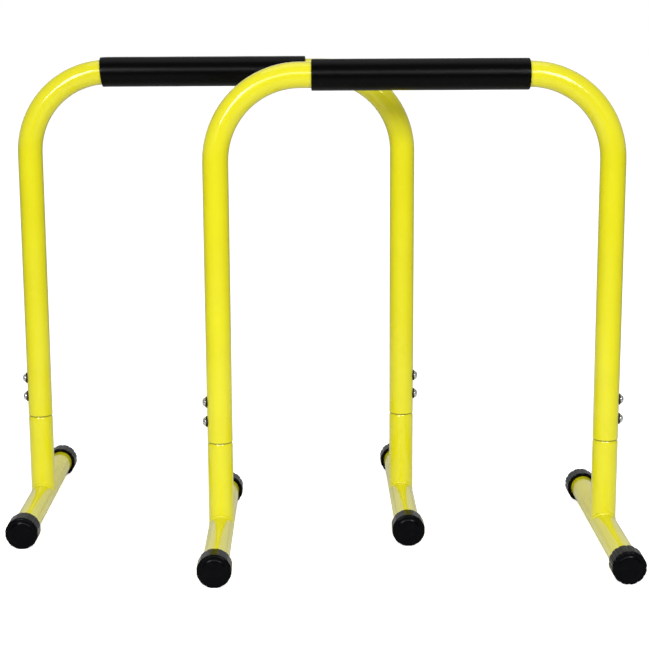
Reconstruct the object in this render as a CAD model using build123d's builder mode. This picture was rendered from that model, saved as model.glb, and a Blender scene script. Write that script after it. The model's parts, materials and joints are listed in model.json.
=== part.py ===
"""A pair of free-standing parallel bars, in millimetres.

Each bar is a bent steel tube that slips over the necks of two welded feet and is held there by
button-head screws. +Z is up, the floor is Z = 0, and the origin is the middle of the pair's
footprint. Both bars run along X. The front bar stands towards -Y and to the right of the rear one.
"""

from build123d import *

import os
from math import acos, cos, degrees, radians, sin, sqrt

# The pair: the way the two bars stand, side by side and staggered
bar_gap = 175.0  # from one top bar's centre to the other's, along Y
bar_stagger = 300.0  # from one bar's middle to the other's, along X

# One bar
bar_height = 724.0  # floor to the top of the bare tube
bar_width = 622.3  # over the outsides of the legs
bend_radius = 125.0  # both upper bends, on the tube's centreline
seam_height = 157.0  # floor to the joint between the bent tube and its feet
foot_length = 425.0  # over the end faces of both caps

# Steel tube, the same for the bent frame, the posts and the feet
tube_od = 38.1
tube_wall = 1.5
tube_edge = 1.0  # rounding on a cut end

# The post's swaged neck, which slips inside the bent tube
neck_length = 85.0
neck_fit = 0.15  # radial gap inside the bent tube
shoulder_radius = 12.0
neck_lead_in = 0.8
cope_gap = 0.05  # between the post's saddle and the foot tube
cope_ear_height = 3.0  # the saddle's thin ears are cut off this far above the foot's axis

# Weld bead round the saddle
bead_radius = 4.0  # at the front and the back of the post
bead_side_radius = 1.3  # where post and foot tube run into each other
bead_start = 5.0  # degrees round the saddle from its side to where each run starts and ends
bead_sections = 7

# Foam grip
grip_length = 317.5  # along the tube
grip_wall = 4.0
grip_edge = 1.4
grip_fit = 0.05  # radial gap on the tube
grip_shift = {"front": 8.0, "rear": -18.0}  # along the tube, from the bar's middle

# End cap, a round rubber sleeve with flats so that the foot cannot roll
cap_length = 31.0
cap_wall = 5.4  # from the bore to a flat
cap_floor = 5.0  # closed end, with its disc
cap_fit = 0.05  # radial gap on the tube
cap_flats = 12
cap_groove_radius = 1.8
cap_groove_offset = 0.2  # the groove's centre lies this far outside the corner
cap_edge_radius = 3.0
cap_mouth_chamfer = 0.8
disc_height = 1.4
disc_radius = 18.0
disc_edge = 1.1

# Button-head screw, saddle washer and weld nut
screw_pitch = 30.0  # from one screw to the next on a leg
screw_rise = 31.0  # from the seam to the lower screw
screw_radius = 4.0
screw_length = 16.0
screw_tip = 0.8
screw_clearance = 0.5  # radial, through the bent tube and the washer
head_radius = 7.0
head_height = 4.4
head_rim = 0.6
head_crown_radius = 3.9
head_dome_radius = 6.2
socket_flats = 5.0
socket_depth = 2.6
washer_od = 17.0
washer_thickness = 2.0
washer_fit = 0.02
nut_flats = 14.0
nut_height = 6.5
nut_seat_gap = 0.02  # from the nut's edges to the neck's inside
nut_pilot_radius = 5.25
pilot_fit = 0.1
thread_fit = 0.05

# Worked out from the sizes above
tube_radius = tube_od / 2
tube_bore = tube_radius - tube_wall
neck_radius = tube_bore - neck_fit
neck_bore = neck_radius - tube_wall
leg_x = (bar_width - tube_od) / 2
top_z = bar_height - tube_radius
cap_bore = tube_radius + cap_fit
cap_apothem = cap_bore + cap_wall
cap_corner = cap_apothem / cos(radians(180 / cap_flats))
foot_z = cap_apothem
shoulder_angle = acos(1 - (tube_radius - neck_radius) / shoulder_radius)
shoulder_drop = shoulder_radius * sin(shoulder_angle)
neck_top = seam_height + neck_length
screw_seat = tube_radius + washer_fit + washer_thickness
screw_heights = {
    "upper": seam_height + screw_rise + screw_pitch,
    "lower": seam_height + screw_rise,
}
bar_places = {
    "front": (bar_stagger / 2, -bar_gap / 2),
    "rear": (-bar_stagger / 2, bar_gap / 2),
}
sides = {"left": -1, "right": 1}
ends = {"near": -1, "far": 1}


def screw_plane(side, height):
    """On a leg's axis at a screw: Z points out along the screw, X runs along the leg."""
    return Plane(origin=(0, 0, height), x_dir=(0, 0, 1), z_dir=(side, 0, 0))


def frame_centreline():
    """The bent tube's axis, from the left seam up and over to the right one."""
    with BuildLine(Plane.XZ) as centreline:
        FilletPolyline(
            (-leg_x, seam_height),
            (-leg_x, top_z),
            (leg_x, top_z),
            (leg_x, seam_height),
            radius=bend_radius,
        )
    return centreline.wire()


def make_upper_frame():
    """The bent tube: two legs, two bends and the top bar, with screw holes in its outer walls."""
    centreline = frame_centreline()
    with BuildPart() as upper_frame:
        with BuildSketch(Plane(origin=centreline @ 0, z_dir=centreline % 0)):
            Circle(tube_radius)
            Circle(tube_bore, mode=Mode.SUBTRACT)
        sweep(path=centreline)
        cut_ends = upper_frame.faces().filter_by(Axis.Z).edges().group_by(SortBy.LENGTH)[-1]
        fillet(cut_ends, tube_edge)
        for side in sides.values():
            for height in screw_heights.values():
                with Locations(Plane(origin=(side * (leg_x + tube_radius), 0, height), z_dir=(side, 0, 0))):
                    Hole(screw_radius + screw_clearance, depth=tube_radius)
    return upper_frame.part


def make_post(side):
    """The upright of one foot: a tube with a swaged neck above, coped to the foot tube below."""
    with BuildPart() as post:
        with BuildSketch(Plane.XZ):
            with BuildLine():
                foot_end = foot_z + cope_ear_height
                shoulder_start = (tube_radius, seam_height - shoulder_drop)
                neck_start = (neck_radius, seam_height)
                Line((tube_radius, foot_end), shoulder_start)
                CenterArc(
                    (tube_radius - shoulder_radius, seam_height - shoulder_drop),
                    shoulder_radius,
                    0,
                    degrees(shoulder_angle),
                )
                Polyline(
                    neck_start,
                    (neck_radius, neck_top - neck_lead_in),
                    (neck_radius - neck_lead_in, neck_top),
                    (neck_bore, neck_top),
                    (neck_bore, seam_height),
                    (tube_bore, seam_height - shoulder_drop),
                    (tube_bore, foot_end),
                    (tube_radius, foot_end),
                )
            make_face()
        revolve(axis=Axis.Z)
        with BuildSketch(Plane.XZ):
            with Locations((0, foot_z)):
                Circle(tube_radius + cope_gap)
        extrude(amount=tube_od, both=True, mode=Mode.SUBTRACT)
        for height in screw_heights.values():
            with BuildSketch(screw_plane(side, height)):
                Circle(nut_pilot_radius + pilot_fit)
            extrude(amount=tube_od, mode=Mode.SUBTRACT)
    return post.part


def make_foot_tube():
    """The tube that lies along Y, closed by a cap at each end."""
    with BuildPart() as foot_tube:
        with BuildSketch(Plane.XZ):
            with Locations((0, foot_z)):
                Circle(tube_radius)
                Circle(tube_bore, mode=Mode.SUBTRACT)
        extrude(amount=foot_length / 2 - cap_floor, both=True)
    return foot_tube.part


def saddle_plane(turn, facing):
    """Across the bead at an angle round the saddle, on the side that faces -Y (-1) or +Y (1)."""
    rise = tube_radius * sin(turn)
    return Plane(
        origin=(tube_radius * cos(turn), facing * rise, foot_z + rise),
        x_dir=(0, -facing, 1),
        z_dir=(-sin(turn), facing * cos(turn), cos(turn)),
    )


def make_weld():
    """The bead round the saddle in two runs, front and back, thick in the middle and thin at the ends."""
    with BuildPart() as weld:
        for facing in (-1, 1):
            for step in range(bead_sections):
                turn = radians(bead_start + (180 - 2 * bead_start) * step / (bead_sections - 1))
                growth = (bead_radius - bead_side_radius) * sin(turn)
                with BuildSketch(saddle_plane(turn, facing)):
                    Circle(bead_side_radius + growth)
            loft()
        with BuildSketch(Plane.XY.offset(foot_z - tube_radius)):
            Circle(tube_radius)
        extrude(amount=3 * tube_od, mode=Mode.SUBTRACT)
        with BuildSketch(Plane.XZ):
            with Locations((0, foot_z)):
                Circle(tube_radius)
        extrude(amount=tube_od, both=True, mode=Mode.SUBTRACT)
    return weld.part


def make_grip(shift):
    """The foam sleeve on the top bar; it follows the bend if it reaches past the straight."""
    centreline = frame_centreline()
    start = 0.5 + (shift - grip_length / 2) / centreline.length
    end = 0.5 + (shift + grip_length / 2) / centreline.length
    covered = centreline.trim(start, end)
    with BuildPart() as grip:
        with BuildSketch(Plane(origin=covered @ 0, z_dir=covered % 0)):
            Circle(tube_radius + grip_fit + grip_wall)
            Circle(tube_radius + grip_fit, mode=Mode.SUBTRACT)
        sweep(path=covered)
        fillet(grip.faces().filter_by(GeomType.PLANE).edges().group_by(SortBy.LENGTH)[-1], grip_edge)
    return grip.part


def make_cap():
    """The end cap: its mouth lies on XY and its closed end faces +Z, with one flat towards -Y."""
    rim_z = cap_length - disc_height
    with BuildPart() as cap:
        with BuildSketch():
            RegularPolygon(cap_apothem, cap_flats, major_radius=False, rotation=180 / cap_flats)
            with PolarLocations(cap_corner + cap_groove_offset, cap_flats, start_angle=180 / cap_flats):
                Circle(cap_groove_radius, mode=Mode.SUBTRACT)
        extrude(amount=rim_z)
        with BuildSketch(Plane.XZ):
            with BuildLine():
                Line((0, 0), (cap_corner - cap_mouth_chamfer, 0))
                Line((cap_corner - cap_mouth_chamfer, 0), (cap_corner, cap_mouth_chamfer))
                Line((cap_corner, cap_mouth_chamfer), (cap_corner, rim_z - cap_edge_radius))
                CenterArc(
                    (cap_corner - cap_edge_radius, rim_z - cap_edge_radius), cap_edge_radius, 0, 90
                )
                Polyline((cap_corner - cap_edge_radius, rim_z), (0, rim_z), (0, 0))
            make_face()
        revolve(axis=Axis.Z, mode=Mode.INTERSECT)
        with BuildSketch(Plane.XY.offset(rim_z)):
            Circle(disc_radius)
        extrude(amount=disc_height)
        fillet(cap.edges().group_by(Axis.Z)[-1], disc_edge)
        with BuildSketch():
            Circle(cap_bore)
        extrude(amount=cap_length - cap_floor, mode=Mode.SUBTRACT)
    return cap.part


def make_screw():
    """Button-head socket screw along Z, placed as it sits on a leg whose axis passes the origin."""
    tip = screw_seat - screw_length
    crown = screw_seat + head_height
    with BuildPart() as screw:
        with BuildSketch(Plane.XZ):
            with BuildLine():
                Polyline(
                    (0, crown),
                    (0, tip),
                    (screw_radius - screw_tip, tip),
                    (screw_radius, tip + screw_tip),
                    (screw_radius, screw_seat),
                    (head_radius, screw_seat),
                    (head_radius, screw_seat + head_rim),
                )
                RadiusArc(
                    (head_radius, screw_seat + head_rim), (head_crown_radius, crown), -head_dome_radius
                )
                Line((head_crown_radius, crown), (0, crown))
            make_face()
        revolve(axis=Axis.Z)
        with BuildSketch(Plane.XY.offset(crown)):
            RegularPolygon(socket_flats / 2, 6, major_radius=False)
        extrude(amount=-socket_depth, mode=Mode.SUBTRACT)
    return screw.part


def make_washer():
    """Saddle washer, pressed to the leg's curve, whose axis is X; the screw passes along Z."""
    inner = tube_radius + washer_fit
    with BuildPart() as washer:
        with BuildSketch(Plane.YZ):
            Circle(inner + washer_thickness)
            Circle(inner, mode=Mode.SUBTRACT)
        extrude(amount=washer_od / 2, both=True)
        with BuildSketch():
            Circle(washer_od / 2)
            Circle(screw_radius + screw_clearance, mode=Mode.SUBTRACT)
        extrude(amount=tube_od, mode=Mode.INTERSECT)
    return washer.part


def make_weld_nut():
    """Weld nut inside the neck, with the pilot that centres it in the neck's hole."""
    seat = sqrt(neck_bore**2 - (nut_flats / 2) ** 2) - nut_seat_gap
    with BuildPart() as nut:
        with BuildSketch(Plane.XY.offset(seat)):
            RegularPolygon(nut_flats / 2, 6, major_radius=False)
        extrude(amount=-nut_height)
        with BuildSketch(Plane.XY.offset(seat)):
            Circle(nut_pilot_radius)
        extrude(amount=neck_bore + tube_wall / 2 - seat)
        with BuildSketch(Plane.XY.offset(seat - nut_height)):
            Circle(screw_radius + thread_fit)
        extrude(amount=tube_od, mode=Mode.SUBTRACT)
    return nut.part


def save(piece, name, location):
    """Writes one copy of a piece where it stands, under its own name."""
    with BuildPart() as placed:
        add(piece.moved(location))
    placed.part.label = name
    export_step(placed.part, f"parts/{name}.step")


def save_leg(bar, side_name, place):
    """One leg's foot and hardware: post, foot tube, weld, caps, screws, washers and weld nuts."""
    side = sides[side_name]
    leg = f"{bar}_{side_name}"
    axis = Location((place[0] + side * leg_x, place[1], 0))
    save(make_post(side), f"{leg}_post", axis)
    save(foot_tube, f"{leg}_foot_tube", axis)
    save(weld, f"{leg}_weld", axis)
    for end_name, end in ends.items():
        mouth = Plane(
            origin=(0, end * (foot_length / 2 - cap_length), foot_z), x_dir=(1, 0, 0), z_dir=(0, end, 0)
        )
        save(cap, f"{leg}_{end_name}_cap", axis * mouth.location)
    for level, height in screw_heights.items():
        fixing = axis * screw_plane(side, height).location
        save(screw, f"{leg}_{level}_screw", fixing)
        save(washer, f"{leg}_{level}_washer", fixing)
        save(weld_nut, f"{leg}_{level}_weld_nut", fixing)


upper_frame = make_upper_frame()
foot_tube = make_foot_tube()
weld = make_weld()
cap = make_cap()
screw = make_screw()
washer = make_washer()
weld_nut = make_weld_nut()

os.makedirs("parts", exist_ok=True)
for bar, place in bar_places.items():
    save(upper_frame, f"{bar}_upper_frame", Location((*place, 0)))
    save(make_grip(grip_shift[bar]), f"{bar}_grip", Location((*place, 0)))
    for side_name in sides:
        save_leg(bar, side_name, place)
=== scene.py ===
"""A pair of free-standing parallel bars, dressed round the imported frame.

The steel tubes, screws, washers and nuts are the frame's own nodes with better finishes. The foam
grips, the weld beads and the rubber caps are built here, in metres, at the places the frame gives.
"""

import json
import logging
import math
from abc import ABC, abstractmethod
from dataclasses import dataclass, field
from enum import Enum
from typing import Any, Callable, Iterator, Mapping, Sequence, Union

import bmesh
import bpy
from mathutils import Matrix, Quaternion, Vector, noise


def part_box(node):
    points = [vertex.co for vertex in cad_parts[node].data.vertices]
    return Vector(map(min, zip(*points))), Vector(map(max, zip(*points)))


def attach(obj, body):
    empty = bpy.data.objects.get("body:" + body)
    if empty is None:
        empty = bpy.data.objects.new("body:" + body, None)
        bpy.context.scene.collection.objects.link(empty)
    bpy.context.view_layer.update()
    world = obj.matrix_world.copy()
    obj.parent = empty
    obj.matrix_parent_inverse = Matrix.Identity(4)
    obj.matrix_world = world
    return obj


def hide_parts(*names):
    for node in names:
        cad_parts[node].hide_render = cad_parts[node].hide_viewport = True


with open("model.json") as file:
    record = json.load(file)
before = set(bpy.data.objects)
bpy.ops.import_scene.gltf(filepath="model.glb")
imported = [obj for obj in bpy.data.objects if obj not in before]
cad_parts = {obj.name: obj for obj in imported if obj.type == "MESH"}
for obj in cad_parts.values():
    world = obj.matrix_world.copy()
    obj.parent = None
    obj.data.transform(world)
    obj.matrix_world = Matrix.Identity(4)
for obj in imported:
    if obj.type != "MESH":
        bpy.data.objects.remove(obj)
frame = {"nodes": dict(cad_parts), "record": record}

LOG = logging.getLogger("parallel_bars")
MM = 0.001

Colour = tuple[float, float, float]
Point = tuple[float, float, float]
Ring = list[Vector]


# ---------------------------------------------------------------- names used by the frame


class Bar(Enum):
    """One of the two bars."""

    FRONT = "front"
    REAR = "rear"

    @property
    def body(self) -> str:
        """The body that this bar's pieces ride on."""
        return f"{self.value}_bar"


class Side(Enum):
    """A bar's left (-X) or right (+X) leg."""

    LEFT = "left"
    RIGHT = "right"


class End(Enum):
    """The end of a foot tube, with its direction along Y."""

    NEAR = -1
    FAR = 1


class Barrel(Enum):
    """How a cap's barrel is moulded, with the number of its grooves."""

    FLATS = 12
    FLUTES = 24


class Slot(Enum):
    """The record's material slots."""

    PAINT = "yellow_paint"
    FOAM = "black_foam"
    RUBBER = "black_rubber"
    ZINC = "zinc_steel"
    OXIDE = "dark_steel"


# ---------------------------------------------------------------- shader expressions


class Wire:
    """A number, colour or vector on its way between shader nodes."""

    def __init__(self, board: "Board", socket: bpy.types.NodeSocket) -> None:
        """Keeps the socket and the board that new nodes are added to."""
        self.board = board
        self.socket = socket

    def __add__(self, other: "Value") -> "Wire":
        """self + other"""
        return self.board.maths("ADD", self, other)

    def __radd__(self, other: "Value") -> "Wire":
        """other + self"""
        return self.board.maths("ADD", other, self)

    def __sub__(self, other: "Value") -> "Wire":
        """self - other"""
        return self.board.maths("SUBTRACT", self, other)

    def __rsub__(self, other: "Value") -> "Wire":
        """other - self"""
        return self.board.maths("SUBTRACT", other, self)

    def __mul__(self, other: "Value") -> "Wire":
        """self * other"""
        return self.board.maths("MULTIPLY", self, other)

    def __rmul__(self, other: "Value") -> "Wire":
        """other * self"""
        return self.board.maths("MULTIPLY", other, self)

    def __pow__(self, other: "Value") -> "Wire":
        """self ** other"""
        return self.board.maths("POWER", self, other)

    def __abs__(self) -> "Wire":
        """The value without its sign."""
        return self.board.maths("ABSOLUTE", self)


Value = Union[Wire, float]


class Board:
    """A node tree being filled: one material's, or the world's."""

    def __init__(self, tree: bpy.types.NodeTree) -> None:
        """Clears the tree.

        Args:
            tree: the node tree to fill.
        """
        self.tree = tree
        self.tree.nodes.clear()

    def node(
        self,
        kind: str,
        settings: Mapping[str, Any] | None = None,
        inputs: Mapping[Union[str, int], Any] | None = None,
    ) -> bpy.types.Node:
        """Adds a node.

        Args:
            kind: the node's type, such as "ShaderNodeTexNoise".
            settings: attributes, set first. "stops" fills a colour ramp.
            inputs: values or wires for its sockets, by name or place.

        Returns:
            The new node.
        """
        made = self.tree.nodes.new(kind)
        for name, value in (settings or {}).items():
            if name == "stops":
                self._fill_ramp(made.color_ramp, value)
            else:
                setattr(made, name, value)
        self.feed(made, inputs or {})
        return made

    def feed(self, made: bpy.types.Node, inputs: Mapping[Union[str, int], Any]) -> None:
        """Sets or links a node's sockets.

        Args:
            made: the node.
            inputs: values or wires for its sockets, by name or place.
        """
        for name, value in inputs.items():
            if isinstance(value, Wire):
                self.tree.links.new(value.socket, made.inputs[name])
            else:
                made.inputs[name].default_value = value

    @staticmethod
    def _fill_ramp(ramp: bpy.types.ColorRamp, stops: Sequence[tuple[float, Colour]]) -> None:
        """Gives a ramp its stops.

        Args:
            ramp: a ramp with its two stops of origin.
            stops: places and colours, in order.
        """
        while len(ramp.elements) < len(stops):
            ramp.elements.new(0.5)
        for element, (place, colour) in zip(ramp.elements, stops):
            element.position = place
            element.color = (*colour, 1.0)

    def out(self, made: bpy.types.Node, name: Union[str, int] = 0) -> Wire:
        """The wire that leaves a node's named output."""
        return Wire(self, made.outputs[name])

    def maths(self, operation: str, *values: Value) -> Wire:
        """A Math node on values or wires."""
        return self.out(self.node("ShaderNodeMath", {"operation": operation}, dict(enumerate(values))))

    def clamp(self, value: Wire) -> Wire:
        """The value, kept from 0 to 1."""
        return self.out(self.node("ShaderNodeClamp", None, {"Value": value}))

    def step(self, value: Wire, low: float, high: float) -> Wire:
        """Rises smoothly from 0 at low to 1 at high.

        Args:
            value: what is measured.
            low: where the step starts.
            high: where it ends; below low, the step falls.

        Returns:
            The step, from 0 to 1.
        """
        ranged = self.node(
            "ShaderNodeMapRange",
            {"interpolation_type": "SMOOTHSTEP"},
            {"Value": value, "From Min": min(low, high), "From Max": max(low, high)},
        )
        risen = self.out(ranged)
        return risen if low < high else 1.0 - risen

    def mix(self, share: Value, first: Any, second: Any) -> Wire:
        """A colour between two others.

        Args:
            share: 0 for the first, 1 for the second.
            first: colour or wire.
            second: colour or wire.

        Returns:
            The mixed colour.
        """
        made = self.node("ShaderNodeMix", {"data_type": "RGBA"})
        sockets = {s.identifier: s for s in made.inputs}
        for key, value in (("Factor_Float", share), ("A_Color", first), ("B_Color", second)):
            if isinstance(value, Wire):
                self.tree.links.new(value.socket, sockets[key])
            elif key == "Factor_Float":
                sockets[key].default_value = value
            else:
                sockets[key].default_value = (*value, 1.0)
        return Wire(self, next(s for s in made.outputs if s.identifier == "Result_Color"))

    def stretch(self, vector: Wire, scale: Point) -> Wire:
        """The vector, multiplied along each axis."""
        made = self.node("ShaderNodeVectorMath", {"operation": "MULTIPLY"}, {0: vector, 1: scale})
        return self.out(made)

    def place(self) -> Wire:
        """The point on the surface, in metres, which moves with the object."""
        return self.out(self.node("ShaderNodeTexCoord"), "Object")

    def axes(self, vector: Wire) -> tuple[Wire, Wire, Wire]:
        """A vector's X, Y and Z."""
        made = self.node("ShaderNodeSeparateXYZ", None, {0: vector})
        return self.out(made, 0), self.out(made, 1), self.out(made, 2)

    def cloud(self, place: Wire, grain: float, detail: float = 2.0, rough: float = 0.5) -> Wire:
        """Soft noise from 0 to 1.

        Args:
            place: where it is read.
            grain: the size of its patches, in metres.
            detail: how many finer layers it has.
            rough: how strong the finer layers are.

        Returns:
            The noise.
        """
        inputs = {"Vector": place, "Scale": 1.0 / grain, "Detail": detail, "Roughness": rough}
        return self.out(self.node("ShaderNodeTexNoise", None, inputs))

    def cells(self, place: Wire, pitch: float, feature: str = "F1") -> Wire:
        """Distance within Voronoi cells.

        Args:
            place: where it is read.
            pitch: the size of a cell, in metres.
            feature: the Voronoi feature.

        Returns:
            The distance, in cells.
        """
        inputs = {"Vector": place, "Scale": 1.0 / pitch}
        return self.out(self.node("ShaderNodeTexVoronoi", {"feature": feature}, inputs), "Distance")

    def relief(self, height: Wire, depth: float, strength: float = 1.0) -> Wire:
        """A bumped normal.

        Args:
            height: relief from 0 to 1.
            depth: what 1 stands for, in metres.
            strength: how much of it shows.

        Returns:
            The normal.
        """
        made = self.node("ShaderNodeBump", None, {"Height": height, "Distance": depth, "Strength": strength})
        return self.out(made)


# ---------------------------------------------------------------- finishes


class Finish(ABC):
    """A surface finish that makes its own material once."""

    label: str

    def material(self) -> bpy.types.Material:
        """The finish's material, made at the first call."""
        found = bpy.data.materials.get(self.label)
        if found is None:
            found = bpy.data.materials.new(self.label)
            found.use_nodes = True
            board = Board(found.node_tree)
            shader = board.node("ShaderNodeBsdfPrincipled")
            board.node("ShaderNodeOutputMaterial", None, {"Surface": board.out(shader)})
            self.fill(board, shader)
        return found

    @abstractmethod
    def fill(self, board: Board, shader: bpy.types.Node) -> None:
        """Builds the finish on its Principled shader."""

    def dress(self, piece: bpy.types.Object) -> None:
        """Gives the piece this finish alone."""
        piece.data.materials.clear()
        piece.data.materials.append(self.material())


@dataclass(frozen=True)
class PowderCoat(Finish):
    """Glossy yellow powder coat with orange peel, dust pits, scuffed tube ends and painted shade along the
    seam.
    """

    label: str = "yellow_powder_coat"
    colour: Colour = (0.93, 0.872, 0.010)
    deep: Colour = (0.89, 0.825, 0.008)
    thin: Colour = (0.62, 0.53, 0.03)
    scuff: Colour = (0.95, 0.90, 0.22)
    peel: float = 2.6 * MM
    peel_depth: float = 0.016 * MM
    # painted shade: the dark olive colour stands for the shadow in the gap at the seam
    seam_shade: Colour = (0.10, 0.085, 0.003)
    ends: tuple[float, ...] = ()
    end_reach: float = 1.8 * MM
    drift_size: float = 90 * MM
    scratch_size: float = 0.9 * MM
    patch_size: float = 35 * MM
    # patch size of the painted seam shade's unevenness
    chip_size: float = 1.6 * MM
    seam_shade_size: float = 4 * MM
    pit_pitch: float = 7 * MM
    dust_size: float = 0.5 * MM

    def fill(self, board: Board, shader: bpy.types.Node) -> None:
        """Builds the coat: tint, scuffs, thin edges, painted shade at the seam, pits and peel."""
        place = board.place()
        height = board.axes(place)[2]
        drift = board.cloud(place, self.drift_size, 3.0)
        tint = board.mix(board.step(drift, 0.25, 0.8), self.deep, self.colour)
        scratches = board.cloud(board.stretch(place, (1.0, 1.0, 0.12)), self.scratch_size, 2.0, 0.6)
        patches = board.step(board.cloud(place, self.patch_size, 4.0, 0.6), 0.56, 0.72)
        scuffs = board.clamp(board.step(scratches, 0.62, 0.74) * patches)
        tint = board.mix(scuffs * 0.35, tint, self.scuff)
        edge: Value = 0.0
        for end in self.ends:
            edge = edge + board.step(abs(height - end), self.end_reach, 0.0)
        chipped = board.clamp(edge * board.step(board.cloud(place, self.chip_size, 3.0), 0.42, 0.62))
        tint = board.mix(chipped * 0.55, tint, self.thin)
        # painted shade: darkens the paint within end_reach of each height in ends, in place of the seam
        # gap's shadow
        seam_shade_mask = edge * (0.75 + 0.25 * board.cloud(place, self.seam_shade_size))
        tint = board.mix(board.clamp(seam_shade_mask), tint, self.seam_shade)
        pits = board.step(board.cells(place, self.pit_pitch), 0.055, 0.03)
        orange_peel = board.cloud(place, self.peel, 1.5, 0.45)
        relief = orange_peel + 0.12 * board.cloud(place, self.dust_size) - 0.8 * pits - 0.5 * chipped
        values = {
            "Base Color": tint,
            "Roughness": 0.24 + 0.1 * drift + 0.22 * scuffs + 0.3 * chipped,
            "IOR": 1.5,
            "Specular IOR Level": 0.2,
            "Coat Weight": board.clamp(0.95 - 0.45 * scuffs - 0.6 * chipped),
            "Coat Roughness": 0.045,
            "Coat IOR": 1.5,
            "Normal": board.relief(relief, self.peel_depth),
        }
        board.feed(shader, values)


@dataclass(frozen=True)
class FoamSkin(Finish):
    """Black closed-cell foam: a fine open grain, larger dimples and a little dust."""

    label: str = "black_foam_skin"
    colour: Colour = (0.0004, 0.0004, 0.0007)
    worn: Colour = (0.0016, 0.0016, 0.0019)
    pore: float = 0.55 * MM
    pore_depth: float = 0.065 * MM
    dimple: float = 1.9 * MM
    mottle_size: float = 14 * MM
    crease_size: float = 5 * MM
    dust_size: float = 0.6 * MM
    dust: Colour = (0.05, 0.05, 0.05)

    def fill(self, board: Board, shader: bpy.types.Node) -> None:
        """Builds the foam: pores, dimples, handling marks."""
        place = board.place()
        pores = board.step(board.cells(place, self.pore), 0.05, 0.55)
        coarse = board.step(board.cells(place, self.dimple, "SMOOTH_F1"), 0.1, 0.7)
        mottle = board.cloud(place, self.mottle_size, 4.0, 0.6)
        rubbed = board.step(mottle, 0.5, 0.75)
        creases = board.cloud(board.stretch(place, (0.25, 1.0, 1.0)), self.crease_size, 3.0)
        dusty = board.clamp(board.step(board.cloud(place, self.dust_size, 2.0), 0.68, 0.76) * rubbed)
        tint = board.mix(board.clamp(0.45 * rubbed + 0.4 * (1.0 - pores)), self.colour, self.worn)
        values = {
            "Base Color": board.mix(dusty * 0.5, tint, self.dust),
            "Roughness": 0.17 + 0.06 * mottle + 0.05 * pores - 0.05 * rubbed,
            "IOR": 1.45,
            "Specular IOR Level": 0.11,
            "Normal": board.relief(0.55 * pores + 0.3 * coarse + 0.4 * creases, self.pore_depth, 0.8),
        }
        board.feed(shader, values)


@dataclass(frozen=True)
class MouldedRubber(Finish):
    """Black moulded rubber: satin grain, flow marks, and dust where it meets the floor."""

    label: str = "black_moulded_rubber"
    colour: Colour = (0.0003, 0.0005, 0.0012)
    bloom: Colour = (0.0014, 0.0017, 0.0026)
    dust: Colour = (0.11, 0.105, 0.095)
    grain: float = 0.45 * MM
    grain_depth: float = 0.05 * MM
    floor_reach: float = 2.2 * MM
    bloom_size: float = 9 * MM
    lint_pitch: float = 1.3 * MM
    scuff_size: float = 1.5 * MM

    def fill(self, board: Board, shader: bpy.types.Node) -> None:
        """Builds the rubber: bloom, scuffs near the floor and a fine grain."""
        place = board.place()
        height = board.axes(place)[2]
        bloom = board.cloud(place, self.bloom_size, 4.0, 0.55)
        grain = board.cloud(place, self.grain, 2.0, 0.6)
        speck = board.cells(place, self.lint_pitch)
        low = board.step(height, self.floor_reach, 0.0)
        scuffs = board.clamp(low * board.step(board.cloud(place, self.scuff_size, 3.0), 0.42, 0.66))
        lint = board.step(speck, 0.07, 0.03) * board.step(bloom, 0.5, 0.7)
        tint = board.mix(board.step(bloom, 0.35, 0.8), self.colour, self.bloom)
        tint = board.mix(board.clamp(scuffs * 0.7 + lint * 0.3), tint, self.dust)
        values = {
            "Base Color": tint,
            "Roughness": 0.10 + 0.06 * bloom + 0.3 * scuffs,
            "IOR": 1.5,
            "Specular IOR Level": 0.08,
            "Normal": board.relief(0.7 * grain + 0.3 * bloom, self.grain_depth, 0.7),
        }
        board.feed(shader, values)


@dataclass(frozen=True)
class ZincPlate(Finish):
    """Bright zinc plate on steel, a little uneven, with tool marks."""

    label: str = "bright_zinc_plate"
    colour: Colour = (0.80, 0.80, 0.77)
    cool: Colour = (0.66, 0.69, 0.74)
    tarnish: Colour = (0.42, 0.40, 0.34)
    spangle_size: float = 1.6 * MM
    mark_size: float = 0.8 * MM
    mark_depth: float = 0.02 * MM
    spot_size: float = 0.9 * MM

    def fill(self, board: Board, shader: bpy.types.Node) -> None:
        """Builds the plate: spangle, tarnish and fine scratches."""
        place = board.place()
        spangle = board.cloud(place, self.spangle_size, 3.0)
        marks = board.cloud(board.stretch(place, (1.0, 1.0, 6.0)), self.mark_size, 2.0, 0.6)
        spots = board.step(board.cloud(place, self.spot_size, 2.0), 0.66, 0.78)
        tint = board.mix(board.step(spangle, 0.3, 0.7), self.colour, self.cool)
        values = {
            "Base Color": board.mix(spots * 0.6, tint, self.tarnish),
            "Metallic": 1.0,
            "Roughness": 0.12 + 0.10 * spangle + 0.3 * spots,
            "Normal": board.relief(0.6 * marks + 0.4 * spangle, self.mark_depth, 0.6),
        }
        board.feed(shader, values)


@dataclass(frozen=True)
class BlackOxide(Finish):
    """Black oxide on pressed steel, rubbed grey in places."""

    label: str = "black_oxide"
    colour: Colour = (0.012, 0.012, 0.013)
    rubbed: Colour = (0.09, 0.09, 0.092)
    patch_size: float = 3 * MM
    mark_size: float = 1.1 * MM
    mark_depth: float = 0.03 * MM

    def fill(self, board: Board, shader: bpy.types.Node) -> None:
        """Builds the oxide: rubbed patches and pressing marks."""
        place = board.place()
        patches = board.step(board.cloud(place, self.patch_size, 4.0, 0.6), 0.5, 0.72)
        marks = board.cloud(board.stretch(place, (5.0, 1.0, 1.0)), self.mark_size, 2.0)
        values = {
            "Base Color": board.mix(patches * 0.6, self.colour, self.rubbed),
            "Metallic": board.clamp(0.35 + 0.4 * patches),
            "Roughness": 0.42 - 0.1 * patches + 0.1 * marks,
            "Normal": board.relief(marks, self.mark_depth, 0.6),
        }
        board.feed(shader, values)


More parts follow.
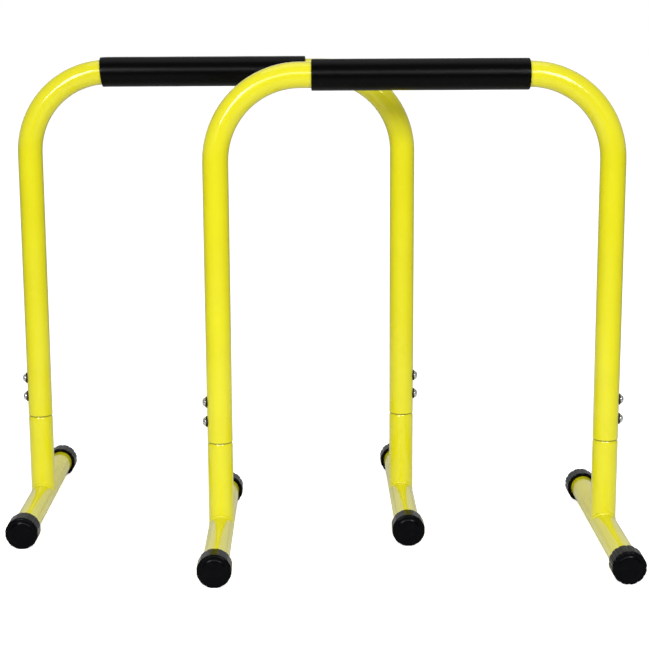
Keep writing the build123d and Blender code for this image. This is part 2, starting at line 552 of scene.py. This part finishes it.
@dataclass(frozen=True)
class FloorPaint(Finish):
    """The studio's matt floor: a white sheet on darker ground, which the camera sees as nearly white."""

    label: str = "studio_floor"
    colour: Colour = (0.88, 0.88, 0.88)
    outside: Colour = (0.35, 0.35, 0.35)
    sheet: float = 0.9
    glow: float = 0.80

    def fill(self, board: Board, shader: bpy.types.Node) -> None:
        """Builds a plain matt surface that the camera sees as nearly white."""
        across, along, _ = board.axes(board.place())
        reach = (across**2.0 + along**2.0) ** 0.5
        seen = board.out(board.node("ShaderNodeLightPath"), "Is Camera Ray")
        beyond = board.step(reach, self.sheet, self.sheet * 2) * (1.0 - seen)
        values = {
            "Base Color": board.mix(beyond, self.colour, self.outside),
            "Roughness": 0.9,
            "Specular IOR Level": 0.0,
            "Emission Color": (1, 1, 1, 1),
            "Emission Strength": seen * self.glow,
        }
        board.feed(shader, values)


# ---------------------------------------------------------------- meshes from rings


@dataclass
class RingSkin:
    """A mesh made of equal rings of points, one after another."""

    name: str
    rings: list[Ring] = field(default_factory=list)
    closed: bool = False

    def points(self) -> Iterator[Vector]:
        """All points, ring by ring."""
        for ring in self.rings:
            yield from ring

    def faces(self) -> list[tuple[int, ...]]:
        """Quads between neighbouring rings, and a fan over each open end.

        Returns:
            The faces, as places in points().
        """
        size = len(self.rings[0])
        count = len(self.rings)
        made: list[tuple[int, ...]] = []
        for a in range(count if self.closed else count - 1):
            b = (a + 1) % count
            for i in range(size):
                j = (i + 1) % size
                made.append((a * size + i, a * size + j, b * size + j, b * size + i))
        if not self.closed:
            made.append(tuple(reversed(range(size))))
            made.append(tuple(range((count - 1) * size, count * size)))
        return made

    def build(self) -> bpy.types.Object:
        """Makes the object, smooth and facing outwards.

        Returns:
            The new object, in the scene.
        """
        mesh = bpy.data.meshes.new(self.name)
        mesh.from_pydata([tuple(p) for p in self.points()], [], self.faces())
        shell = bmesh.new()
        shell.from_mesh(mesh)
        bmesh.ops.recalc_face_normals(shell, faces=shell.faces)
        shell.to_mesh(mesh)
        shell.free()
        mesh.shade_smooth()
        piece = bpy.data.objects.new(self.name, mesh)
        bpy.context.scene.collection.objects.link(piece)
        return piece


def circle(centre: Vector, across: Vector, up: Vector, radius: Callable[[float], float], count: int) -> Ring:
    """A ring round a centre.

    Args:
        centre: its middle.
        across: unit vector at angle 0.
        up: unit vector at a quarter turn.
        radius: radius at an angle, in metres.
        count: how many points.

    Returns:
        The ring's points.
    """
    ring = []
    for i in range(count):
        turn = math.tau * i / count
        ring.append(centre + radius(turn) * (math.cos(turn) * across + math.sin(turn) * up))
    return ring


def middle(node: str) -> Vector:
    """The centre of a node's box."""
    low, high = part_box(node)
    return (low + high) / 2


# ---------------------------------------------------------------- the pieces


@dataclass
class FoamGrip:
    """The foam sleeve, which follows the tube round its bend where it reaches that far."""

    bar: Bar
    finish: Finish
    length: float = 317.5 * MM
    tube_radius: float = 19.05 * MM
    bend_radius: float = 125 * MM
    end_round: float = 1.5 * MM
    lump: float = 0.16 * MM
    step: float = 2.5 * MM
    bore_fit: float = 0.05 * MM
    skin_from: float = 1 * MM
    slow_size: float = 38 * MM
    fine_size: float = 7 * MM
    pinch_reach: float = 5 * MM
    fill: float = 0.9
    around: int = 112

    def __post_init__(self) -> None:
        """Reads the bar's centreline and the sleeve's place from the frame."""
        low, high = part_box(f"{self.bar.value}_upper_frame")
        self.centre = Vector(((low.x + high.x) / 2, (low.y + high.y) / 2, high.z - self.tube_radius))
        self.straight = (high.x - low.x) / 2 - self.tube_radius - self.bend_radius
        grip_low, grip_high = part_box(f"{self.bar.value}_grip")
        self.outer = (grip_high.y - grip_low.y) / 2
        self.start = grip_low.x - self.centre.x
        if abs(self.start) > self.straight:
            self.start = grip_high.x - self.centre.x - self.length

    def station(self, along: float) -> tuple[Vector, Vector]:
        """Where the tube's axis is, and which way is up across it.

        Args:
            along: distance along the axis from the bar's middle.

        Returns:
            The point on the axis and the unit vector away from the bend's inside.
        """
        past = max(abs(along) - self.straight, 0.0) / self.bend_radius
        sign = math.copysign(1.0, along)
        x = min(abs(along), self.straight) + self.bend_radius * math.sin(past)
        drop = self.bend_radius * (1 - math.cos(past))
        up = Vector((sign * math.sin(past), 0, math.cos(past)))
        return self.centre + Vector((sign * x, 0, -drop)), up

    def profile(self) -> list[tuple[float, float]]:
        """Distance along the sleeve and radius, down the outside and back through the bore.

        Returns:
            The closed outline that every section follows.
        """
        bore = self.tube_radius + self.bore_fit
        turns = [math.pi / 2 * i / 5 for i in range(6)]
        rise = [
            (self.end_round * (1 - math.sin(t)), self.outer - self.end_round * (1 - math.cos(t)))
            for t in turns
        ]
        steps = round((self.length - 2 * self.end_round) / self.step)
        span = self.length - 2 * self.end_round
        body = [(self.end_round + span * i / steps, self.outer) for i in range(1, steps)]
        right = [(self.length - s, r) for s, r in rise]
        inner = [(self.length * (1 - i / 24), bore) for i in range(25)]
        return rise[::-1] + body + right + inner

    def build(self) -> bpy.types.Object:
        """Makes the sleeve, dresses it and puts it in the place of the plain one.

        Returns:
            The sleeve.
        """
        rings = []
        for along, radius in self.profile():
            centre, up = self.station(self.start + along)
            ring = circle(centre, Vector((0, 1, 0)), up, lambda _, r=radius: r, self.around)
            if radius > self.tube_radius + self.skin_from:
                ring = [self.soften(p, centre, along) for p in ring]
            rings.append(ring)
        piece = RingSkin(f"{self.bar.value}_foam_grip", rings, closed=True).build()
        self.finish.dress(piece)
        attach(piece, self.bar.body)
        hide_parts(f"{self.bar.value}_grip")
        return piece

    def soften(self, point: Vector, centre: Vector, along: float) -> Vector:
        """Moves a point of the skin in a little, as foam is never quite round.

        Args:
            point: a point on the skin.
            centre: the middle of its ring.
            along: distance from the sleeve's end.

        Returns:
            The moved point.
        """
        out = (point - centre).normalized()
        slow = noise.noise(point / self.slow_size)
        fine = noise.noise(point / self.fine_size + Vector((3.1, 0.0, 0.0)))
        end = min(along, self.length - along)
        pinch = math.exp(-end / self.pinch_reach)
        return point - out * self.lump * (0.6 + 0.6 * slow + 0.25 * fine + 0.8 * pinch)


@dataclass
class WeldBead:
    """The painted weld bead round a post's saddle, laid in overlapping ripples."""

    bar: Bar
    side: Side
    finish: Finish
    front_radius: float = 4.6 * MM
    side_radius: float = 1.6 * MM
    front_sink: float = 2.1 * MM
    side_sink: float = 1.6 * MM
    root: float = 0.5 * MM
    dip: float = 2.6 * MM
    ripple: float = 2.3 * MM
    ripple_height: float = 0.32 * MM
    step: float = 0.55 * MM
    phase_size: float = 9 * MM
    wander_size: float = 6 * MM
    wander_height: float = 0.35 * MM
    around: int = 28

    def __post_init__(self) -> None:
        """Reads the post's axis and the tube's size from the frame."""
        name = f"{self.bar.value}_{self.side.value}"
        low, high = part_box(f"{name}_foot_tube")
        self.tube_radius = (high.x - low.x) / 2
        post = middle(f"{name}_post")
        self.origin = Vector((post.x, post.y, (low.z + high.z) / 2))

    def root_line(self, turn: float) -> Vector:
        """The line where post and foot tube meet, rounded where it dips at the sides.

        Args:
            turn: angle round the post.

        Returns:
            The point, from the weld's origin.
        """
        x, y = self.tube_radius * math.cos(turn), self.tube_radius * math.sin(turn)
        return Vector((x, y, math.hypot(y, self.dip)))

    def stations(self) -> list[float]:
        """Angles round the post, evenly spaced along the root line.

        Returns:
            The angles, without repeating the first.
        """
        fine = 2000
        lengths = [0.0]
        for i in range(fine):
            a, b = self.root_line(math.tau * i / fine), self.root_line(math.tau * (i + 1) / fine)
            lengths.append(lengths[-1] + (b - a).length)
        count = round(lengths[-1] / self.step)
        found, i = [], 0
        for k in range(count):
            while lengths[i + 1] < lengths[-1] * k / count:
                i += 1
            found.append(math.tau * i / fine)
        return found

    def ring(self, turn: float, travelled: float) -> Ring:
        """One section of the bead.

        Args:
            turn: angle round the post.
            travelled: distance along the bead, which sets the ripple.

        Returns:
            The section's points.
        """
        here = self.root_line(turn)
        tangent = (self.root_line(turn + 1e-3) - self.root_line(turn - 1e-3)).normalized()
        post_normal = Vector((here.x, here.y, 0)).normalized()
        foot_normal = Vector((here.x, 0, here.z)).normalized()
        out = (post_normal + foot_normal).normalized()
        out = (out - out.dot(tangent) * tangent).normalized()
        beside = tangent.cross(out)
        front = abs(math.sin(turn))
        size = self.side_radius + (self.front_radius - self.side_radius) * front
        sink = self.side_sink + (self.front_sink - self.side_sink) * front
        phase = (travelled / self.ripple + 0.25 * noise.noise(here / self.phase_size + self.origin)) % 1.0
        crest = self.ripple_height * (phase**0.6 - 0.6) * size / self.front_radius
        wander = self.wander_height * noise.noise(here / self.wander_size + self.origin * 7.0)

        def radius(angle: float) -> float:
            """The bead's radius in its section, thinner where it sinks into the tubes.

            Args:
                angle: angle in the section, 0 outwards.

            Returns:
                The radius, in metres.
            """
            facing = math.cos(angle)
            outer = size + (crest + wander * 0.4) * max(facing, 0.0) ** 0.5
            return outer if facing > -0.05 else max(self.root, outer * (1 + 0.9 * facing))

        return circle(self.origin + here - sink * out, out, beside, radius, self.around)

    def build(self) -> bpy.types.Object:
        """Makes the bead, dresses it and puts it in the place of the plain one.

        Returns:
            The bead.
        """
        turns = self.stations()
        rings = [self.ring(turn, i * self.step) for i, turn in enumerate(turns)]
        name = f"{self.bar.value}_{self.side.value}"
        piece = RingSkin(f"{name}_weld_bead", rings, closed=True).build()
        self.finish.dress(piece)
        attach(piece, self.bar.body)
        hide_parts(f"{name}_weld")
        return piece


@dataclass
class RubberCap:
    """A twelve-sided rubber cap with grooved corners and a raised disc on its closed end.

    The fluted kind has a groove down the middle of each flat as well.
    """

    bar: Bar
    side: Side
    end: End
    finish: Finish
    groove_depth: float = 0.8 * MM
    groove_width: float = 1.5 * MM
    flute_depth: float = 1.0 * MM
    edge_round: float = 3.0 * MM
    mouth_round: float = 0.9 * MM
    disc_height: float = 1.4 * MM
    disc_radius: float = 18.0 * MM
    disc_arc: float = 8.0 * MM
    dish: float = 0.35 * MM
    floor_thickness: float = 5 * MM
    moat_depth: float = 0.1 * MM
    moat_width: float = 0.7 * MM
    disc_foot: float = 0.05 * MM
    centre_radius: float = 0.02 * MM
    bore_fit: float = 0.05 * MM
    corner_trim: float = 0.25 * MM
    around: int = 360

    def __post_init__(self) -> None:
        """Reads the cap's place and size from the frame."""
        self.node = f"{self.bar.value}_{self.side.value}_{self.end.name.lower()}_cap"
        low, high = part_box(self.node)
        tube_low, tube_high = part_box(f"{self.bar.value}_{self.side.value}_foot_tube")
        self.apothem = (high.z - low.z) / 2
        fluted = self.end is End.FAR or (self.bar is Bar.FRONT and self.side is Side.RIGHT)
        self.barrel = Barrel.FLUTES if fluted else Barrel.FLATS
        self.length = high.y - low.y
        self.bore = (tube_high.x - tube_low.x) / 2 + self.bore_fit
        mouth_y = low.y if self.end is End.FAR else high.y
        self.mouth = Vector(((low.x + high.x) / 2, mouth_y, (low.z + high.z) / 2))

    def outline(self, turn: float, inset: float) -> float:
        """The barrel's radius at an angle.

        Args:
            turn: angle round the cap's axis; a flat faces the floor.
            inset: how far the whole outline is drawn in.

        Returns:
            The radius, in metres.
        """
        share = math.tau / Barrel.FLATS.value
        off = (turn + math.pi / 2 + share / 2) % share - share / 2
        apothem = self.apothem - inset
        flat = apothem / math.cos(off)
        corner = (self.apothem / math.cos(share / 2)) - inset - self.corner_trim
        from_corner = (share / 2 - abs(off)) * self.apothem
        cut = self.groove_depth * math.exp(-((from_corner / (self.groove_width / 2)) ** 2))
        if self.barrel is Barrel.FLUTES:
            cut += self.flute_depth * math.exp(-((off * self.apothem / (self.groove_width / 2)) ** 2))
        fade = max(0.0, 1.0 - inset / self.edge_round)
        return min(flat, corner) - cut * fade

    def profile(self) -> list[tuple[float, float, float]]:
        """Rings from the bore's bottom, out over the mouth and barrel, to the disc.

        Returns:
            For each ring its distance from the mouth, its inset, and its radius if it is round.
        """
        top = self.length
        rim = top - self.disc_height
        quarter = [math.pi / 2 * i / 8 for i in range(9)]
        soft, edge, arc = self.mouth_round, self.edge_round, self.disc_arc
        fall = math.acos(1 - self.disc_height / arc)
        flat = self.disc_radius - arc * math.sin(fall)
        slopes = [fall * (1 - i / 12) for i in range(1, 13)]
        rings = [
            (top - self.floor_thickness, 0.0, self.bore),
            (soft, 0.0, self.bore),
            (0.0, 0.0, self.bore + soft),
        ]
        rings += [(soft * (1 - math.cos(t)), soft * (1 - math.sin(t)), 0.0) for t in quarter]
        rings += [(rim * i / 10, 0.0, 0.0) for i in range(1, 9)]
        rings += [(rim - edge * (1 - math.sin(t)), edge * (1 - math.cos(t)), 0.0) for t in quarter]
        rings += [(rim - self.moat_depth, 0.0, self.disc_radius + self.moat_width)]
        rings += [(rim + self.disc_foot, 0.0, self.disc_radius)]
        rings += [(top - arc * (1 - math.cos(t)), 0.0, flat + arc * math.sin(t)) for t in slopes]
        rings += [(top - self.dish * (i / 8) ** 2, 0.0, flat * (1 - i / 8)) for i in range(1, 8)]
        rings += [(top - self.dish, 0.0, self.centre_radius)]
        return rings

    def build(self) -> bpy.types.Object:
        """Makes the cap, dresses it and puts it in the place of the plain one.

        Returns:
            The cap.
        """
        out = Vector((0, self.end.value, 0))
        up = Vector((0, 0, 1))
        across = up.cross(out)
        rings = []
        for depth, inset, radius in self.profile():
            shape = (lambda _, r=radius: r) if radius else (lambda turn, d=inset: self.outline(turn, d))
            rings.append(circle(self.mouth + out * depth, across, up, shape, self.around))
        piece = RingSkin(f"{self.node}_moulded", rings).build()
        self.finish.dress(piece)
        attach(piece, self.bar.body)
        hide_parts(self.node)
        return piece


@dataclass
class SteelWork:
    """The nodes that are shown as they are: tubes, screws, washers and nuts."""

    bar: Bar
    finishes: dict[Slot, Finish]

    def dress(self) -> list[bpy.types.Object]:
        """Gives each of this bar's own nodes its finish.

        Returns:
            The nodes that stay in view.
        """
        dressed = []
        for part in frame["record"]["subparts"]:
            node = frame["nodes"][part["node"]]
            if part["node"].startswith(self.bar.value) and not node.hide_render:
                self.finishes[Slot(part["material_slot"])].dress(node)
                dressed.append(node)
        return dressed


@dataclass
class OneBar:
    """A whole bar: its foam, welds and caps, and the steel that they are on."""

    bar: Bar
    finishes: dict[Slot, Finish]

    def build(self) -> list[bpy.types.Object]:
        """Builds and dresses every piece of the bar.

        Returns:
            All pieces in view.
        """
        made = [FoamGrip(self.bar, self.finishes[Slot.FOAM]).build()]
        for side in Side:
            made.append(WeldBead(self.bar, side, self.finishes[Slot.PAINT]).build())
            for end in End:
                made.append(RubberCap(self.bar, side, end, self.finishes[Slot.RUBBER]).build())
        return made + SteelWork(self.bar, self.finishes).dress()


# ---------------------------------------------------------------- the studio


@dataclass(frozen=True)
class Softbox:
    """A rectangular light that faces a point."""

    name: str
    place: Point
    width: float
    height: float
    glow: float
    aim: Point = (0.0, 0.0, 0.4)

    def build(self) -> bpy.types.Object:
        """Makes the light.

        Returns:
            The light, turned towards its aim.
        """
        lamp = bpy.data.lights.new(self.name, "AREA")
        lamp.shape = "RECTANGLE"
        lamp.size = self.width
        lamp.size_y = self.height
        lamp.energy = self.glow * self.width * self.height * math.pi
        holder = bpy.data.objects.new(self.name, lamp)
        holder.location = self.place
        holder.rotation_euler = (Vector(self.aim) - Vector(self.place)).to_track_quat("-Z", "Y").to_euler()
        bpy.context.scene.collection.objects.link(holder)
        return holder


@dataclass(frozen=True)
class Studio:
    """The floor, the even light all round, and the softboxes."""

    floor_radius: float = 30.0
    backdrop: float = 1.0
    ambient: float = 0.33
    behind: float = 0.32
    softboxes: tuple[Softbox, ...] = (
        Softbox("softbox_left", (-1.20, -2.6, 1.5), 0.6, 1.1, 12.8),
        Softbox("softbox_right", (1.15, -2.6, 1.65), 0.6, 0.9, 13.6),
        Softbox("front_panel", (0.0, -3.1, 1.8), 1.8, 0.8, 3.7),
        Softbox("top_panel", (0.0, 0.3, 2.8), 2.2, 1.6, 0.8, (0.0, 0.0, 0.0)),
    )

    def floor(self) -> bpy.types.Object:
        """Makes the round floor.

        Returns:
            The floor, marked as no part of the object.
        """
        rings = [
            circle(Vector((0, 0, -0.2 * MM)), Vector((1, 0, 0)), Vector((0, 1, 0)), lambda _, r=r: r, 96)
            for r in (self.floor_radius, 4.0, 1.0, 0.1)
        ]
        size, count = len(rings[0]), len(rings)
        points = [tuple(p) for ring in rings for p in ring]
        faces = [
            (a * size + i, a * size + (i + 1) % size, (a + 1) * size + (i + 1) % size, (a + 1) * size + i)
            for a in range(count - 1)
            for i in range(size)
        ]
        faces.append(tuple(range((count - 1) * size, count * size)))
        mesh = bpy.data.meshes.new("floor")
        mesh.from_pydata(points, [], faces)
        piece = bpy.data.objects.new("floor", mesh)
        bpy.context.scene.collection.objects.link(piece)
        FloorPaint().dress(piece)
        return piece

    def sky(self) -> bpy.types.World:
        """Lights the room dimly, a little brighter behind, with a backdrop the camera sees as white.

        Returns:
            The world.
        """
        world = bpy.data.worlds.new("studio")
        bpy.context.scene.world = world
        world.use_nodes = True
        board = Board(world.node_tree)
        seen = board.out(board.node("ShaderNodeLightPath"), "Is Camera Ray")
        direction = board.out(board.node("ShaderNodeTexCoord"), "Generated")
        room = self.ambient + self.behind * board.step(board.axes(direction)[1], 0.55, 0.95)
        strength = room + seen * (self.backdrop - room)
        shader = board.node("ShaderNodeBackground", None, {"Color": (1, 1, 1, 1), "Strength": strength})
        board.node("ShaderNodeOutputWorld", None, {"Surface": board.out(shader)})
        return world

    def build(self) -> None:
        """Makes the floor, the room's light and every softbox."""
        self.floor()
        self.sky()
        for softbox in self.softboxes:
            softbox.build()
        bpy.context.scene.view_settings.view_transform = "Standard"


@dataclass(frozen=True)
class Viewpoint:
    """The camera: standing in front of the pair, a little above the grips, looking down."""

    place: Point = (-5.9 * MM, -2.432, 0.7885)
    pitch: float = 0.191
    turn: float = 0.010
    roll: float = -0.005
    lens: float = 88.48
    sensor: float = 36.0

    def build(self) -> bpy.types.Object:
        """Makes the camera and looks through it.

        Returns:
            The camera.
        """
        data = bpy.data.cameras.new("camera")
        data.sensor_width = self.sensor
        data.lens = self.lens
        data.clip_start, data.clip_end = 0.05, 100.0
        camera = bpy.data.objects.new("camera", data)
        ahead = Vector(
            (
                math.sin(self.turn) * math.cos(self.pitch),
                math.cos(self.turn) * math.cos(self.pitch),
                -math.sin(self.pitch),
            )
        )
        aim = ahead.to_track_quat("-Z", "Y")
        camera.rotation_mode = "QUATERNION"
        camera.rotation_quaternion = aim @ Quaternion((0, 0, 1), self.roll)
        camera.location = self.place
        bpy.context.scene.collection.objects.link(camera)
        bpy.context.scene.camera = camera
        return camera


def main() -> None:
    """Builds both bars, then the studio and the camera."""
    logging.basicConfig(level=logging.INFO, format="%(name)s: %(message)s")
    bpy.context.view_layer.update()
    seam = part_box("front_upper_frame")[0].z
    finishes: dict[Slot, Finish] = {
        Slot.PAINT: PowderCoat(ends=(seam,)),
        Slot.FOAM: FoamSkin(),
        Slot.RUBBER: MouldedRubber(),
        Slot.ZINC: ZincPlate(),
        Slot.OXIDE: BlackOxide(),
    }
    for bar in Bar:
        for piece in OneBar(bar, finishes).build():
            LOG.info("%s: %d faces", piece.name, len(piece.data.polygons))
    Studio().build()
    Viewpoint().build()
    bpy.context.view_layer.update()


if __name__ == "__main__":
    main()
